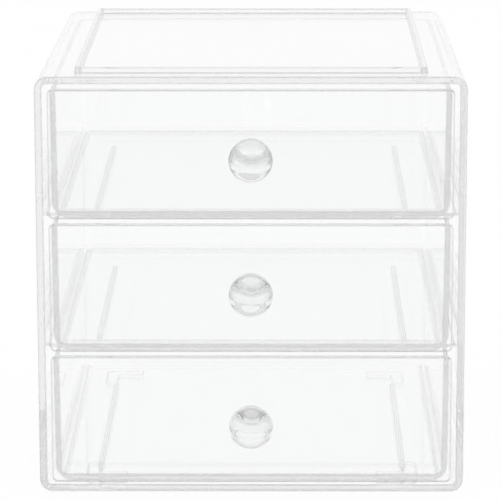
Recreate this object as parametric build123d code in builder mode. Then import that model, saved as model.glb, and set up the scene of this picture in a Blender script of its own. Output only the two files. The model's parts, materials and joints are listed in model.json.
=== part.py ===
"""Clear stackable cosmetic organizer: a one-piece moulded case with three pull-out drawers.

Millimetres. +Z is up, +X is to the right of someone facing the drawers, and -Y points out of the
fronts. The origin is at the bottom centre of the closed organizer, knobs included.
"""

import os
from math import radians, sqrt, tan

from build123d import *

os.makedirs("parts", exist_ok=True)

# Case
case_width = 172.0
case_depth = 187.0
side_wall = 3.1
back_wall = 3.0
top_wall = 3.0
base_wall = 3.0
side_draft = 0.35  # degrees by which each side closes in towards the back
top_corner_radius = 5.4
base_corner_radius = 5.2
inner_corner_radius = 1.8
back_edge_radius = 3.6
base_back_radius = 6.2  # outside, where the base turns up into the back wall
bay_back_radius = 3.2  # inside, at the same place
rim_rounding = 0.5

# Shelves between the drawers
shelf_thickness = 1.3
shelf_setback = 18.0
shelf_rounding = 0.4
shelf_root_radius = 0.5  # along the back wall

# Raised rim on the top, which holds the feet of the unit above
lip_side_inset = 15.5
lip_end_inset = 8.6
lip_wall = 2.4
lip_height = 2.4
lip_corner_radius = 1.4
lip_rounding = 0.9

# Angled feet
foot_play = 0.3  # sideways room of a foot inside the rim of the unit below
stack_gap = 0.3  # height that stays free above that rim
foot_width = 5.7
foot_side_leg = 16.8
foot_deep_leg = 19.6
foot_corner_radius = 1.6
foot_end_radius = 1.3
foot_rounding = 1.0

# Drawers
drawer_names = ("bottom", "middle", "top")
front_height = 52.4
front_thickness = 2.8
front_gap = 2.15  # between one front and the next
front_top_gap = 2.2  # above the highest front
front_side_gap = 2.0
front_overhang = 1.2  # past the tray at each side
front_lip = 0.6  # below the tray's floor
front_corner_radius = 2.0
front_rounding = 0.4
tray_wall = 1.85
tray_floor = 2.2
tray_draft = 0.6  # degrees by which the tray's walls lean outwards
tray_headroom = 0.4
tray_back_clearance = 0.3
tray_corner_radius = 6.6  # outside, at the two back corners
tray_floor_radius = 6.1  # outside, where the floor turns up into the side and back walls
tray_inner_floor_radius = 2.0
tray_rim_rounding = 0.5

# Runners under the tray's floor
runner_width = 1.9
runner_height = 1.55
runner_clearance = 0.05
runner_spacing = 124.0
runner_start = 14.0  # behind the face of the front
runner_length = 131.0
runner_rounding = 0.4
runner_groove_width = 0.45
runner_groove_depth = 0.35

# Knob
knob_diameter = 17.7
knob_neck_diameter = 6.4
knob_neck_length = 0.8
knob_peg_diameter = 4.0
knob_peg_length = 1.6
knob_glue_gap = 0.03
knob_drop = 0.5  # below the middle of the front

# Heights, from the soles of the feet upwards
drawer_count = len(drawer_names)
drawer_pitch = front_height + front_gap
foot_height = lip_height + stack_gap
case_bottom = foot_height
bay_floor = case_bottom + base_wall
floor_underside = bay_floor + runner_clearance + runner_height
floor_top = floor_underside + tray_floor
front_bottom = floor_underside - front_lip
bay_ceiling = front_bottom + drawer_count * drawer_pitch - front_gap + front_top_gap
case_top = bay_ceiling + top_wall
tray_top = bay_floor + drawer_pitch - shelf_thickness - tray_headroom
knob_level = front_bottom + front_height / 2 - knob_drop

# Places from front to back, with the knobs ahead of the case
ball_radius = knob_diameter / 2
ball_standoff = knob_neck_length + sqrt(ball_radius**2 - (knob_neck_diameter / 2) ** 2)
knob_reach = ball_standoff + ball_radius
case_front = (knob_reach - case_depth) / 2
case_back = case_front + case_depth
case_middle = (case_front + case_back) / 2
bay_back = case_back - back_wall
front_middle = case_front + front_thickness / 2
front_back = case_front + front_thickness
tray_back = bay_back - tray_back_clearance
shelf_front = case_front + shelf_setback
runner_middle = case_front + runner_start + runner_length / 2
runner_sole = floor_underside - runner_height
groove_start = case_front + runner_start + runner_width
groove_length = runner_length - 2 * runner_width

# Widths and outlines
side_slope = tan(radians(side_draft))
tray_slope = tan(radians(tray_draft))
front_width = case_width - 2 * (side_wall + front_side_gap)
tray_width = front_width - 2 * front_overhang
lip_width = case_width - 2 * lip_side_inset
lip_depth = case_depth - 2 * lip_end_inset
foot_corner_x = lip_width / 2 - lip_wall - foot_play
foot_corner_y = lip_depth / 2 - lip_wall - foot_play


def plan_outline(y_near, y_far, inset):
    """Four corners of a slice of the case seen from above, inset from its outer sides."""
    half_near = case_width / 2 - inset - side_slope * (y_near - case_front)
    half_far = case_width / 2 - inset - side_slope * (y_far - case_front)
    return [(-half_near, y_near), (half_near, y_near), (half_far, y_far), (-half_far, y_far)]


def rounding(radius, wall):
    """The radius, or as much of it as the wall has room for."""
    return min(radius, 0.45 * wall)


def level_face(part, height):
    """The largest flat face of the part that lies level at this height."""
    faces = part.faces().filter_by(Axis.Z)
    return faces.filter_by_position(Axis.Z, height - 0.05, height + 0.05).sort_by(SortBy.AREA)[-1]


def runs_deep(edge):
    """True for an edge that runs from front to back."""
    return abs(edge.tangent_at(0.5).Y) > 0.9 and edge.length > case_depth / 2


def in_bay_corner(edge):
    """True for the edges between two walls of the bay, from the mouth to the back and round it."""
    middle = edge @ 0.5
    inside = abs(middle.X) < case_width / 2 - side_wall / 2 and middle.Y < bay_back + 0.1
    inside = inside and bay_floor - 0.1 < middle.Z < bay_ceiling + 0.1 and middle.Y > case_front + 1
    along_side = abs(middle.X) > case_width / 2 - 2 * side_wall
    return inside and (along_side or middle.Z > bay_ceiling - 0.1)


def stands_up(edge):
    """True for an edge that runs up and down, or nearly so."""
    return abs(edge.tangent_at(0.5).Z) > 0.9


def tub(width, y_near, y_far, bottom, corner_radius, floor_radius):
    """A block that leans outwards up to the tray's rim, where it has this width and reaches y_far.

    Its two back corners are rounded, and so are the side and back edges of its floor.
    """
    lean = tray_slope * (tray_top - bottom)
    with BuildPart() as block:
        with BuildSketch(Plane.XY.offset(bottom)):
            with Locations((0, y_near)):
                Rectangle(width - 2 * lean, y_far - lean - y_near, align=(Align.CENTER, Align.MIN))
        extrude(amount=tray_top - bottom, taper=-tray_draft)
        fillet(block.edges().filter_by(stands_up).group_by(Axis.Y)[-1], radius=corner_radius)
        floor_edges = block.faces().sort_by(Axis.Z)[0].edges().sort_by(Axis.Y)
        fillet(floor_edges[1:], radius=floor_radius)
    return block.part


# Case, one moulding
with BuildPart() as case:
    with BuildSketch(Plane.XY.offset(case_bottom)):
        Polygon(*plan_outline(case_front, case_back, 0), align=None)
    extrude(amount=case_top - case_bottom)
    fillet(case.edges().filter_by(runs_deep).group_by(Axis.Z)[-1], radius=top_corner_radius)
    fillet(case.edges().filter_by(runs_deep).group_by(Axis.Z)[0], radius=base_corner_radius)
    fillet(case.faces().sort_by(Axis.Y)[-1].edges(), radius=back_edge_radius)

    # Larger rounding where the base turns up into the back wall
    with BuildSketch(Plane.YZ):
        with Locations((case_back, case_bottom)):
            Rectangle(base_back_radius, base_back_radius, align=(Align.MAX, Align.MIN))
        with Locations((case_back - base_back_radius, case_bottom + base_back_radius)):
            Circle(base_back_radius, mode=Mode.SUBTRACT)
    extrude(amount=case_width / 2, both=True, mode=Mode.SUBTRACT)

    # Bay, open at the front
    with BuildSketch(Plane.XY.offset(bay_floor)):
        Polygon(*plan_outline(case_front, bay_back, side_wall), align=None)
    extrude(amount=bay_ceiling - bay_floor, mode=Mode.SUBTRACT)
    bay_edges = case.edges(Select.LAST)
    bay_base_edge = bay_edges.filter_by(Axis.X).group_by(Axis.Y)[-1].sort_by(Axis.Z)[0]
    fillet(bay_base_edge, radius=bay_back_radius)
    fillet(case.edges().filter_by(in_bay_corner), radius=inner_corner_radius)
    fillet(case.faces().sort_by(Axis.Y)[0].edges(), radius=rounding(rim_rounding, side_wall))

    # Shelves, rooted in the middle of the side and back walls
    for level in range(1, drawer_count):
        with BuildSketch(Plane.XY.offset(bay_floor + level * drawer_pitch - shelf_thickness)):
            Polygon(*plan_outline(shelf_front, case_back - back_wall / 2, side_wall / 2), align=None)
        extrude(amount=shelf_thickness)
    level_edges = case.edges().filter_by(Axis.X)
    shelf_edges = level_edges.filter_by_position(Axis.Y, shelf_front - 0.1, shelf_front + 0.1)
    fillet(shelf_edges, radius=rounding(shelf_rounding, shelf_thickness))

    # Rounded roots of the shelves, along the back wall
    for level in range(1, drawer_count):
        shelf_top = bay_floor + level * drawer_pitch
        root_near = bay_back - shelf_root_radius
        with BuildSketch(Plane.YZ):
            with Locations((root_near, shelf_top - shelf_thickness / 2)):
                Rectangle(
                    shelf_root_radius + back_wall / 2,
                    shelf_thickness + 2 * shelf_root_radius,
                    align=(Align.MIN, Align.CENTER),
                )
            with Locations(
                (root_near, shelf_top + shelf_root_radius),
                (root_near, shelf_top - shelf_thickness - shelf_root_radius),
            ):
                Circle(shelf_root_radius, mode=Mode.SUBTRACT)
        extrude(amount=case_width / 2 - side_wall, both=True)

    # Raised rim on the top
    with BuildSketch(Plane((0, case_middle, case_top))):
        RectangleRounded(lip_width, lip_depth, lip_corner_radius)
        offset(amount=-lip_wall, mode=Mode.SUBTRACT)
    extrude(amount=lip_height)
    fillet(case.faces().sort_by(Axis.Z)[-1].edges(), radius=rounding(lip_rounding, lip_wall))

    # Four angled feet, the same outline mirrored into each corner
    with BuildSketch(Plane((0, case_middle, case_bottom))) as feet:
        with Locations((foot_corner_x, foot_corner_y)):
            Rectangle(foot_side_leg, foot_width, align=(Align.MAX, Align.MAX))
            Rectangle(foot_width, foot_deep_leg, align=(Align.MAX, Align.MAX))
        fillet(feet.vertices().group_by(Axis.Y)[0], radius=0.49 * foot_width)
        fillet(feet.vertices().group_by(Axis.X)[0], radius=foot_end_radius)
        outer_corner = feet.vertices().sort_by_distance((foot_corner_x, foot_corner_y))[0]
        fillet(outer_corner, radius=foot_corner_radius)
        mirror(about=Plane.YZ)
        mirror(about=Plane.XZ)
    extrude(amount=-foot_height)
    soles = case.faces().filter_by(Axis.Z).group_by(Axis.Z)[0]
    fillet(soles.edges(), radius=rounding(foot_rounding, foot_width))

case.part.label = "case"
export_step(case.part, "parts/case.step")


# Tray of a drawer, outside and inside, in the lowest bay. The outside starts within the front.
tray_outside = tub(
    tray_width,
    front_middle,
    tray_back,
    floor_underside,
    tray_corner_radius,
    tray_floor_radius,
)
tray_inside = tub(
    tray_width - 2 * tray_wall,
    front_back,
    tray_back - tray_wall,
    floor_top,
    tray_corner_radius - tray_wall,
    tray_inner_floor_radius,
)


# Drawer, one moulding: the drafted tray and its wider front
with BuildPart() as drawer:
    add(tray_outside)

    # Front, wider and taller than the tray
    with BuildSketch(Plane.XZ.offset(-case_front)):
        with Locations((0, front_bottom)):
            RectangleRounded(
                front_width, front_height, front_corner_radius, align=(Align.CENTER, Align.MIN)
            )
    extrude(amount=-front_thickness)
    fillet(drawer.faces().sort_by(Axis.Y)[0].edges(), radius=rounding(front_rounding, front_thickness))

    # Inside of the tray, and its rim
    add(tray_inside, mode=Mode.SUBTRACT)
    rim_edges = level_face(drawer, tray_top).edges().filter_by_position(Axis.Y, front_back + 0.1, tray_back)
    fillet(rim_edges, radius=rounding(tray_rim_rounding, tray_wall))

    # Runners under the floor
    with BuildSketch(Plane.XY.offset(floor_underside)):
        with Locations((-runner_spacing / 2, runner_middle), (runner_spacing / 2, runner_middle)):
            SlotOverall(runner_length, runner_width, rotation=90)
    extrude(amount=-runner_height)
    soles = drawer.faces().filter_by(Axis.Z).group_by(Axis.Z)[0]
    fillet(soles.edges(), radius=rounding(runner_rounding, runner_width))

    # Fine groove along each runner's sole
    with BuildSketch(Plane.XZ.offset(-groove_start)):
        for side in (-1, 1):
            groove_middle = side * runner_spacing / 2
            Polygon(
                (groove_middle - runner_groove_width / 2, runner_sole),
                (groove_middle + runner_groove_width / 2, runner_sole),
                (groove_middle, runner_sole + runner_groove_depth),
                align=None,
            )
    extrude(amount=-groove_length, mode=Mode.SUBTRACT)

    # Blind bore for the knob's peg
    with Locations(Plane((0, case_front, knob_level), z_dir=(0, -1, 0))):
        Hole(radius=knob_peg_diameter / 2 + knob_glue_gap, depth=knob_peg_length + knob_glue_gap)


# Knob: a clear ball on a short neck, with a peg that is glued into the front
with BuildPart() as knob:
    with BuildSketch():
        with BuildLine():
            ball_tip = (0, case_front - knob_reach)
            peg_end = case_front + knob_peg_length
            neck_foot = case_front - knob_glue_gap
            neck_top = (knob_neck_diameter / 2, case_front - knob_neck_length)
            Polyline(
                ball_tip,
                (0, peg_end),
                (knob_peg_diameter / 2, peg_end),
                (knob_peg_diameter / 2, neck_foot),
                (knob_neck_diameter / 2, neck_foot),
                neck_top,
            )
            ThreePointArc(neck_top, (ball_radius, case_front - ball_standoff), ball_tip)
        make_face()
    revolve(axis=Axis.Y)


# The drawers and their knobs, one above the other
for level, name in enumerate(drawer_names):
    lift = level * drawer_pitch
    tray = drawer.part.moved(Location((0, 0, lift)))
    tray.label = f"drawer_{name}"
    export_step(tray, f"parts/{tray.label}.step")
    ball = knob.part.moved(Location((0, 0, knob_level + lift)))
    ball.label = f"knob_{name}"
    export_step(ball, f"parts/{ball.label}.step")
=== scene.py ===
"""Clear cosmetic organizer: finishes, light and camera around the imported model.

Metres, in the row frame: +Z is up and -Y points out of the drawer fronts.
"""

import json
import math

import bpy
from mathutils import Matrix, Vector

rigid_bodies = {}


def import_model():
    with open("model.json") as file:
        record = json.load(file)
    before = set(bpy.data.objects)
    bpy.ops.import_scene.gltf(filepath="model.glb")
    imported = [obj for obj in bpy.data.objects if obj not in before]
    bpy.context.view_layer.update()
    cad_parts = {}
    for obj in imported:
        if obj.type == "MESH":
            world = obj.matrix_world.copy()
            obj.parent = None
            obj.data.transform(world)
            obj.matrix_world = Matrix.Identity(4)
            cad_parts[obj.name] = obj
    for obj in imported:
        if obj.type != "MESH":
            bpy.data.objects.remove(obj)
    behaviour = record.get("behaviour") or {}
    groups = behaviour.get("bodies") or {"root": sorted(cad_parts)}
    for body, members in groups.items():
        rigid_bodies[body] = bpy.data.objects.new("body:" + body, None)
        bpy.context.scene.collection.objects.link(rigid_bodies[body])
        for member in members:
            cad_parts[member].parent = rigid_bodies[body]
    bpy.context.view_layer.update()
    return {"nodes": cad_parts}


for leftover in list(bpy.data.objects):
    bpy.data.objects.remove(leftover)

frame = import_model()
nodes = frame["nodes"]

# Camera, as the photograph was taken
PHOTO_SIDE = 500  # pixels
FOCAL_PIXELS = 3161.57
SENSOR_WIDTH = 36.0  # millimetres
CAMERA_PLACE = Vector((0.01219, -1.31994, 0.3744))
CAMERA_YAW = math.radians(0.583)  # turned to the left
CAMERA_PITCH = math.radians(12.375)  # looking down
CAMERA_ROLL = math.radians(-0.1)

# Room, drawn by direction: each part fades in between its edge and its full strength
BACKDROP_WHITE = 1.0
ROOM_LIGHT = 0.95  # what the room gives to matt surfaces
ROOM_GREY = 0.69  # what a reflection sees of the room's sides, ceiling and camera end
WALL_WHITE = 0.965  # what a reflection sees of the wall behind the object
WALL_EDGE = 0.65  # along Y
WALL_FULL = 0.9
SKIRT_EDGE = 0.12  # along Z, below which the room turns white all round
SKIRT_FULL = 0.03
CARD_GREY = 0.3  # grey cards behind both sides, which give the plastic its dark bands
CARD_SIDE_EDGE = 0.45  # along X
CARD_SIDE_FULL = 0.65
CARD_NEAR_EDGE = 0.1  # along Y
CARD_NEAR_FULL = 0.3
CARD_TOP_EDGE = 0.7  # along Z
CARD_TOP_FULL = 0.5

# Table
TABLE_HALF_WIDTH = 1.6
TABLE_NEAR = -1.6
TABLE_FAR = 3.0
TABLE_DROP = 0.0002  # below the soles of the feet
TABLE_WHITE = 0.95
TABLE_GLOW = 0.93  # how much of the table is plain white; the rest shows the shadow

# Two soft square lamps
LAMP_LEVEL = 1.3
LAMP_SIDE = 0.9
LAMP_TARGET = Vector((0, 0, 0.09))
LAMP_PLACES = {"key_lamp": (-0.9, -0.9, 1.3), "fill_lamp": (1.1, -0.7, 1.1)}

# Clear plastic
PLASTIC_TINT = (0.995, 0.997, 0.997, 1.0)
PLASTIC_IOR = 1.5
# The plastic's body absorbs light and glows with painted light, so that long paths inside it fade
# towards this grey
BODY_FADE = 3.0  # per metre, for both the absorption and the painted glow of the body
BODY_GLOW_GREY = 0.68
SHADOW_TINT = (0.95, 0.95, 0.95, 1.0)
WAVE_HEIGHT = 0.000003  # metres
WAVE_SCALE = 38.0
RIPPLE_SCALE = 260.0
RIPPLE_SHARE = 0.06
PATCH_SCALE = 22.0
PATCH_EDGE = 0.52
PATCH_FULL = 0.75
# Painted shade along edges and roundings: where the surface turns within this reach, the plastic's
# colour turns grey
EDGE_REACH = 0.0008  # metres, to both sides of an edge
EDGE_SAMPLES = 3
EDGE_START = 0.995  # cosine of the turn in the surface within that reach
EDGE_WHOLE = 0.92
HAZE_AND_EDGE_SHADE = {  # haze of the patches, and grey of the painted shade along the edges
    "case": (0.03, 0.5),
    "drawer": (0.03, 0.32),
    "knob": (0.02, 0.9),
}

# Light goes through many walls, so its paths are long
PATH_BOUNCES = 160
SEE_THROUGH_BOUNCES = 40

WHITE = (1.0, 1.0, 1.0, 1.0)
BLACK = (0.0, 0.0, 0.0, 1.0)


class Nodes:
    """Adds shader nodes to a tree and links them, with few words."""

    def __init__(self, owner):
        owner.use_nodes = True
        self.tree = owner.node_tree
        self.tree.nodes.clear()

    def add(self, kind, inputs=None, **settings):
        node = self.tree.nodes.new(kind)
        for key, value in settings.items():
            setattr(node, key, value)
        for key, value in (inputs or {}).items():
            if isinstance(value, bpy.types.NodeSocket):
                self.tree.links.new(value, node.inputs[key])
            else:
                node.inputs[key].default_value = value
        return node

    def shader(self, kind, inputs):
        return self.add(kind, inputs).outputs[0]

    def math(self, operation, *values):
        return self.add("ShaderNodeMath", dict(enumerate(values)), operation=operation).outputs[0]

    def blend(self, factor, first, second):
        inputs = {"Factor": factor, "A": first, "B": second}
        return self.add("ShaderNodeMix", inputs, data_type="FLOAT").outputs[0]

    def noise(self, coordinates, scale, detail, roughness=0.5):
        inputs = {"Vector": coordinates, "Scale": scale, "Detail": detail, "Roughness": roughness}
        return self.add("ShaderNodeTexNoise", inputs).outputs["Fac"]

    def span(self, value, low, high, to_low=0.0, to_high=1.0):
        inputs = {
            "Value": value,
            "From Min": low,
            "From Max": high,
            "To Min": to_low,
            "To Max": to_high,
        }
        return self.add("ShaderNodeMapRange", inputs).outputs["Result"]

    def light_path(self):
        return self.add("ShaderNodeLightPath").outputs

    def sight(self, light_path):
        """1 for the camera's rays, reflections and refractions, and 0 for light on matt surfaces."""
        mirrored = self.math("MAXIMUM", light_path["Is Camera Ray"], light_path["Is Glossy Ray"])
        return self.math("MAXIMUM", mirrored, light_path["Is Transmission Ray"])

    def finish(self, kind, **shaders):
        output = self.add(kind)
        for socket, shader in shaders.items():
            self.tree.links.new(shader, output.inputs[socket])


def clear_plastic(name, haze, painted_edge_grey):
    """Polished clear plastic, with patches of this haze, and painted shade of this grey along its edges.
    """
    material = bpy.data.materials.new(name)
    tree = Nodes(material)
    place = tree.add("ShaderNodeTexCoord").outputs["Object"]

    # Slow waves left by the mould, under a finer ripple
    waves = tree.noise(place, WAVE_SCALE, detail=1.5)
    ripple = tree.noise(place, RIPPLE_SCALE, detail=2.0)
    relief = tree.math("MULTIPLY_ADD", ripple, RIPPLE_SHARE, waves)
    bump = tree.add("ShaderNodeBump", {"Height": relief, "Strength": 1.0, "Distance": WAVE_HEIGHT})

    # Patches of faint haze, left by handling
    patches = tree.noise(place, PATCH_SCALE, detail=4.0, roughness=0.6)
    roughness = tree.math("MULTIPLY", tree.span(patches, PATCH_EDGE, PATCH_FULL), haze)

    # Painted shade along the edges: the colour turns to this grey where the surface turns within a short
    # reach
    rounded = tree.add("ShaderNodeBevel", {"Radius": EDGE_REACH}, samples=EDGE_SAMPLES).outputs[0]
    plain = tree.add("ShaderNodeNewGeometry").outputs["Normal"]
    turn = tree.add("ShaderNodeVectorMath", {0: rounded, 1: plain}, operation="DOT_PRODUCT")
    shaded_edge = tree.span(tree.math("ABSOLUTE", turn.outputs["Value"]), EDGE_START, EDGE_WHOLE)
    colours = {0: shaded_edge, 6: PLASTIC_TINT, 7: (painted_edge_grey, painted_edge_grey, painted_edge_grey, 1.0)}
    colour = tree.add("ShaderNodeMix", colours, data_type="RGBA").outputs[2]

    clear = tree.shader(
        "ShaderNodeBsdfPrincipled",
        {
            "Base Color": colour,
            "Roughness": roughness,
            "IOR": PLASTIC_IOR,
            "Transmission Weight": 1.0,
            "Normal": bump.outputs["Normal"],
        },
    )
    see_through = tree.shader("ShaderNodeBsdfTransparent", {"Color": SHADOW_TINT})
    light_path = tree.light_path()
    passes = tree.math("MAXIMUM", light_path["Is Shadow Ray"], light_path["Is Diffuse Ray"])
    surface = tree.shader("ShaderNodeMixShader", {0: passes, 1: clear, 2: see_through})

    # Light that goes far inside the walls is absorbed, and the body glows with painted light, so that
    # such light fades towards one grey
    taken = tree.shader("ShaderNodeVolumeAbsorption", {"Color": BLACK, "Density": BODY_FADE})
    painted_glow = tree.shader("ShaderNodeEmission", {"Color": WHITE, "Strength": BODY_FADE * BODY_GLOW_GREY})
    body = tree.shader("ShaderNodeAddShader", {0: taken, 1: painted_glow})
    tree.finish("ShaderNodeOutputMaterial", Surface=surface, Volume=body)
    return material


def make_world():
    world = bpy.data.worlds.new("studio")
    bpy.context.scene.world = world
    tree = Nodes(world)
    direction = tree.add("ShaderNodeTexCoord").outputs["Generated"]
    along = tree.add("ShaderNodeSeparateXYZ", {0: direction}).outputs

    # What reflections and refractions see: the wall, the cards and white near the table
    wall = tree.span(along["Y"], WALL_EDGE, WALL_FULL, ROOM_GREY, WALL_WHITE)
    side = tree.span(tree.math("ABSOLUTE", along["X"]), CARD_SIDE_EDGE, CARD_SIDE_FULL)
    below_top = tree.span(along["Z"], CARD_TOP_EDGE, CARD_TOP_FULL)
    behind = tree.span(along["Y"], CARD_NEAR_EDGE, CARD_NEAR_FULL)
    cards = tree.math("MULTIPLY", tree.math("MULTIPLY", side, below_top), behind)
    skirt = tree.span(along["Z"], SKIRT_EDGE, SKIRT_FULL, 0.0, BACKDROP_WHITE)
    room = tree.math("MAXIMUM", tree.blend(cards, wall, CARD_GREY), skirt)

    light_path = tree.light_path()
    shown = tree.blend(light_path["Is Camera Ray"], room, BACKDROP_WHITE)
    level = tree.blend(tree.sight(light_path), ROOM_LIGHT, shown)
    background = tree.shader("ShaderNodeBackground", {"Color": WHITE, "Strength": level})
    tree.finish("ShaderNodeOutputWorld", Surface=background)


def make_floor():
    mesh = bpy.data.meshes.new("floor")
    corners = [
        (-TABLE_HALF_WIDTH, TABLE_NEAR, 0),
        (TABLE_HALF_WIDTH, TABLE_NEAR, 0),
        (TABLE_HALF_WIDTH, TABLE_FAR, 0),
        (-TABLE_HALF_WIDTH, TABLE_FAR, 0),
    ]
    mesh.from_pydata(corners, [], [(0, 1, 2, 3)])
    floor = bpy.data.objects.new("floor", mesh)
    bpy.context.scene.collection.objects.link(floor)
    floor.location.z = -TABLE_DROP

    material = bpy.data.materials.new("floor_white")
    tree = Nodes(material)
    paper = tree.shader("ShaderNodeBsdfDiffuse", {"Color": (TABLE_WHITE, TABLE_WHITE, TABLE_WHITE, 1.0)})
    white = tree.shader("ShaderNodeEmission", {"Color": WHITE, "Strength": BACKDROP_WHITE})
    share = tree.math("MULTIPLY", tree.sight(tree.light_path()), TABLE_GLOW)
    surface = tree.shader("ShaderNodeMixShader", {0: share, 1: paper, 2: white})
    tree.finish("ShaderNodeOutputMaterial", Surface=surface)
    mesh.materials.append(material)


def make_lamp(name, place):
    """A soft square lamp whose face shines at LAMP_LEVEL."""
    data = bpy.data.lights.new(name, "AREA")
    data.shape = "SQUARE"
    data.size = LAMP_SIDE
    data.energy = LAMP_LEVEL * math.pi * LAMP_SIDE**2
    lamp = bpy.data.objects.new(name, data)
    bpy.context.scene.collection.objects.link(lamp)
    lamp.location = place
    lamp.rotation_euler = (LAMP_TARGET - Vector(place)).to_track_quat("-Z", "Y").to_euler()


def make_camera():
    forward = Vector(
        (
            -math.sin(CAMERA_YAW) * math.cos(CAMERA_PITCH),
            math.cos(CAMERA_YAW) * math.cos(CAMERA_PITCH),
            -math.sin(CAMERA_PITCH),
        )
    )
    level_right = Vector((math.cos(CAMERA_YAW), math.sin(CAMERA_YAW), 0))
    level_up = level_right.cross(forward)
    right = level_right * math.cos(CAMERA_ROLL) + level_up * math.sin(CAMERA_ROLL)
    up = level_up * math.cos(CAMERA_ROLL) - level_right * math.sin(CAMERA_ROLL)
    data = bpy.data.cameras.new("camera")
    data.sensor_width = SENSOR_WIDTH
    data.lens = FOCAL_PIXELS / PHOTO_SIDE * SENSOR_WIDTH
    camera = bpy.data.objects.new("camera", data)
    bpy.context.scene.collection.objects.link(camera)
    turn = Matrix((right, up, -forward)).transposed().to_4x4()
    camera.matrix_world = Matrix.Translation(CAMERA_PLACE) @ turn
    bpy.context.scene.camera = camera


plastics = {
    f"clear_{kind}": clear_plastic(f"{kind}_plastic", haze, painted_edge_grey)
    for kind, (haze, painted_edge_grey) in HAZE_AND_EDGE_SHADE.items()
}
for node in nodes.values():
    for slot in node.material_slots:
        slot.material = plastics[slot.name.split(".")[0]]

make_world()
make_floor()
for lamp_name, lamp_place in LAMP_PLACES.items():
    make_lamp(lamp_name, lamp_place)
make_camera()

scene = bpy.context.scene
scene.view_settings.view_transform = "Standard"
scene.cycles.max_bounces = PATH_BOUNCES
scene.cycles.transmission_bounces = PATH_BOUNCES
scene.cycles.glossy_bounces = PATH_BOUNCES
scene.cycles.transparent_max_bounces = SEE_THROUGH_BOUNCES
